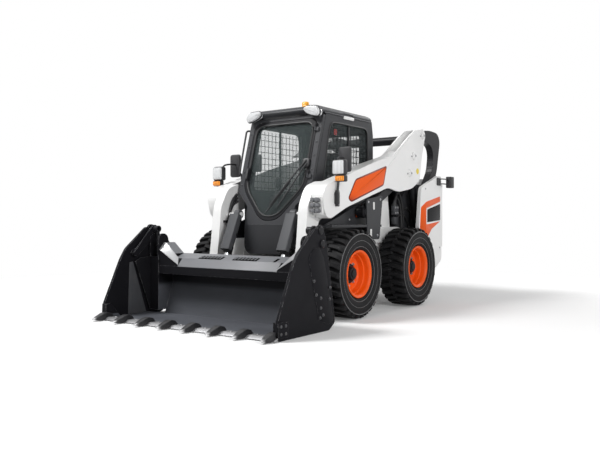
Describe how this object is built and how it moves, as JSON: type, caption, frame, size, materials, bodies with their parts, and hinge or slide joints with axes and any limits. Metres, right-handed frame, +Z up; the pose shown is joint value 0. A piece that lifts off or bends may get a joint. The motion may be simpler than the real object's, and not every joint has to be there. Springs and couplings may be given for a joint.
{
  "type": "skid steer loader",
  "caption": "Compact wheeled skid steer loader with enclosed cab, vertical-lift boom arms and an opening clam bucket with a toothed edge, for digging and loading.",
  "frame": {"origin": "on the ground at the middle of the machine's box, with the bucket down", "axes": "+X forward over the bucket, +Y to the machine's left, +Z up"},
  "size_m": [3.916, 2.072, 2.1422],
  "materials": {
    "white_paint": "gloss",
    "dark_paint": "satin",
    "black_paint": "satin",
    "rim_paint": "gloss",
    "steel": "worn",
    "tyre": "matte",
    "glass": "clear",
    "lamp": "clear lens",
    "amber": "amber lens",
    "trim": "grained",
    "seat_cover": "woven",
    "engine": "painted"
  },
  "bodies": {
    "chassis": {"main_frame": "white_paint", "axle_tubes": "black_paint", "uprights": "dark_paint", "side_covers": "white_paint", "rear_bumper": "dark_paint", "engine_block": "engine", "engine_cover": "white_paint", "side_panels": "dark_paint", "cab_floor": "dark_paint", "cab_sides": "dark_paint", "cab_rear_wall": "dark_paint", "cab_roof": "dark_paint", "cab_front": "dark_paint", "cab_windows": "glass", "window_guards": "black_paint", "seat_base": "trim", "seat_cushions": "seat_cover", "control_consoles": "trim", "roof_lamps": "lamp", "beacon": "amber", "rear_lamps": "lamp", "grab_rail": "dark_paint"},
    "door": {"door_frame": "dark_paint", "door_glass": "glass", "door_wiper": "trim"},
    "tailgate": {"tailgate": "dark_paint"},
    "rear_link": {"rear_links": "black_paint"},
    "boom": {"boom_arms": "white_paint", "boom_cross_tubes": "black_paint", "boom_towers": "white_paint", "lamp_posts": "trim", "headlamps": "lamp"},
    "stay_link": {"stay_links": "black_paint"},
    "lift_barrel": {"lift_barrels": "black_paint"},
    "lift_rod": {"lift_rods": "steel"},
    "carrier": {"attach_carrier": "black_paint", "bucket_blade": "black_paint"},
    "tilt_barrel": {"tilt_barrels": "dark_paint"},
    "tilt_rod": {"tilt_rods": "steel"},
    "clam": {"bucket_clam": "black_paint", "cutting_edge": "steel"},
    "clam_barrel": {"clam_barrels": "black_paint"},
    "clam_rod": {"clam_rods": "steel"},
    "wheel_front_left": {"tyre_front_left": "tyre", "rim_front_left": "rim_paint"},
    "wheel_front_right": {"tyre_front_right": "tyre", "rim_front_right": "rim_paint"},
    "wheel_rear_left": {"tyre_rear_left": "tyre", "rim_rear_left": "rim_paint"},
    "wheel_rear_right": {"tyre_rear_right": "tyre", "rim_rear_right": "rim_paint"}
  },
  "joints": [
    {"name": "wheel_front_left_spin", "type": "hinge", "parent": "chassis", "child": "wheel_front_left", "pos_m": [0.368, 0.76, 0.42], "axis": [0, 1, 0], "continuous": true},
    {"name": "wheel_front_right_spin", "type": "hinge", "parent": "chassis", "child": "wheel_front_right", "pos_m": [0.368, -0.76, 0.42], "axis": [0, 1, 0], "continuous": true},
    {"name": "wheel_rear_left_spin", "type": "hinge", "parent": "chassis", "child": "wheel_rear_left", "pos_m": [-0.872, 0.76, 0.42], "axis": [0, 1, 0], "continuous": true},
    {"name": "wheel_rear_right_spin", "type": "hinge", "parent": "chassis", "child": "wheel_rear_right", "pos_m": [-0.872, -0.76, 0.42], "axis": [0, 1, 0], "continuous": true},
    {"name": "rear_link_swing", "type": "hinge", "parent": "chassis", "child": "rear_link", "pos_m": [-1.492, 0, 1.18], "axis": [0, -1, 0], "range_deg": [-20.04, 0.1]},
    {"name": "boom_lift", "type": "hinge", "parent": "rear_link", "child": "boom", "pos_m": [-1.342, 0, 1.9], "axis": [0, -1, 0], "range_deg": [0, 86]},
    {"name": "stay_link_swing", "type": "hinge", "parent": "chassis", "child": "stay_link", "pos_m": [-0.10946, 0, 1.00798], "axis": [0, -1, 0], "range_deg": [-37.63, 0.1]},
    {"name": "lift_barrel_swing", "type": "hinge", "parent": "chassis", "child": "lift_barrel", "pos_m": [-1.472, 0, 0.48], "axis": [0, -1, 0], "range_deg": [-9.05, 0.1]},
    {"name": "lift_rod_slide", "type": "slide", "parent": "lift_barrel", "child": "lift_rod", "axis": [0.2866, 0, 0.9581], "range_m": [-0.001, 0.36023]},
    {"name": "bucket_tilt", "type": "hinge", "parent": "boom", "child": "carrier", "pos_m": [0.923, 0, 0.205], "axis": [0, 1, 0], "range_deg": [-25, 110]},
    {"name": "tilt_barrel_swing", "type": "hinge", "parent": "boom", "child": "tilt_barrel", "pos_m": [0.663, 0, 0.985], "axis": [0, 1, 0], "range_deg": [-2, 1.89]},
    {"name": "tilt_rod_slide", "type": "slide", "parent": "tilt_barrel", "child": "tilt_rod", "axis": [0.4087, 0, -0.9127], "range_m": [-0.09, 0.19022]},
    {"name": "clam_open", "type": "hinge", "parent": "carrier", "child": "clam", "pos_m": [1.208, 0, 0.73], "axis": [0, -1, 0], "range_deg": [0, 65]},
    {"name": "clam_barrel_swing", "type": "hinge", "parent": "carrier", "child": "clam_barrel", "pos_m": [1.108, 0, 0.2], "axis": [0, -1, 0], "range_deg": [-0.1, 9.79]},
    {"name": "clam_rod_slide", "type": "slide", "parent": "clam_barrel", "child": "clam_rod", "axis": [0.1843, 0, 0.9829], "range_m": [-0.05659, 0.001]},
    {"name": "door_swing", "type": "hinge", "parent": "chassis", "child": "door", "pos_m": [0.61645, 0.395, 1.00389], "axis": [-0.2779, 0, 0.9606], "range_deg": [0, 85]},
    {"name": "tailgate_swing", "type": "hinge", "parent": "chassis", "child": "tailgate", "pos_m": [-1.946, 0.6025, 1], "axis": [0, 0, -1], "range_deg": [0, 100]}
  ],
  "couplings": [
    {"joint": "rear_link_swing", "follows": "boom_lift", "ratio": -0.23256},
    {"joint": "stay_link_swing", "follows": "boom_lift", "ratio": -0.43664},
    {"joint": "lift_barrel_swing", "follows": "boom_lift", "ratio": -0.10498},
    {"joint": "lift_rod_slide", "follows": "boom_lift", "m_per_rad": 0.23952},
    {"joint": "tilt_barrel_swing", "follows": "bucket_tilt", "ratio": 0.017108},
    {"joint": "tilt_rod_slide", "follows": "bucket_tilt", "m_per_rad": 0.098883},
    {"joint": "clam_barrel_swing", "follows": "clam_open", "ratio": 0.1504},
    {"joint": "clam_rod_slide", "follows": "clam_open", "m_per_rad": -0.04978}
  ]
}
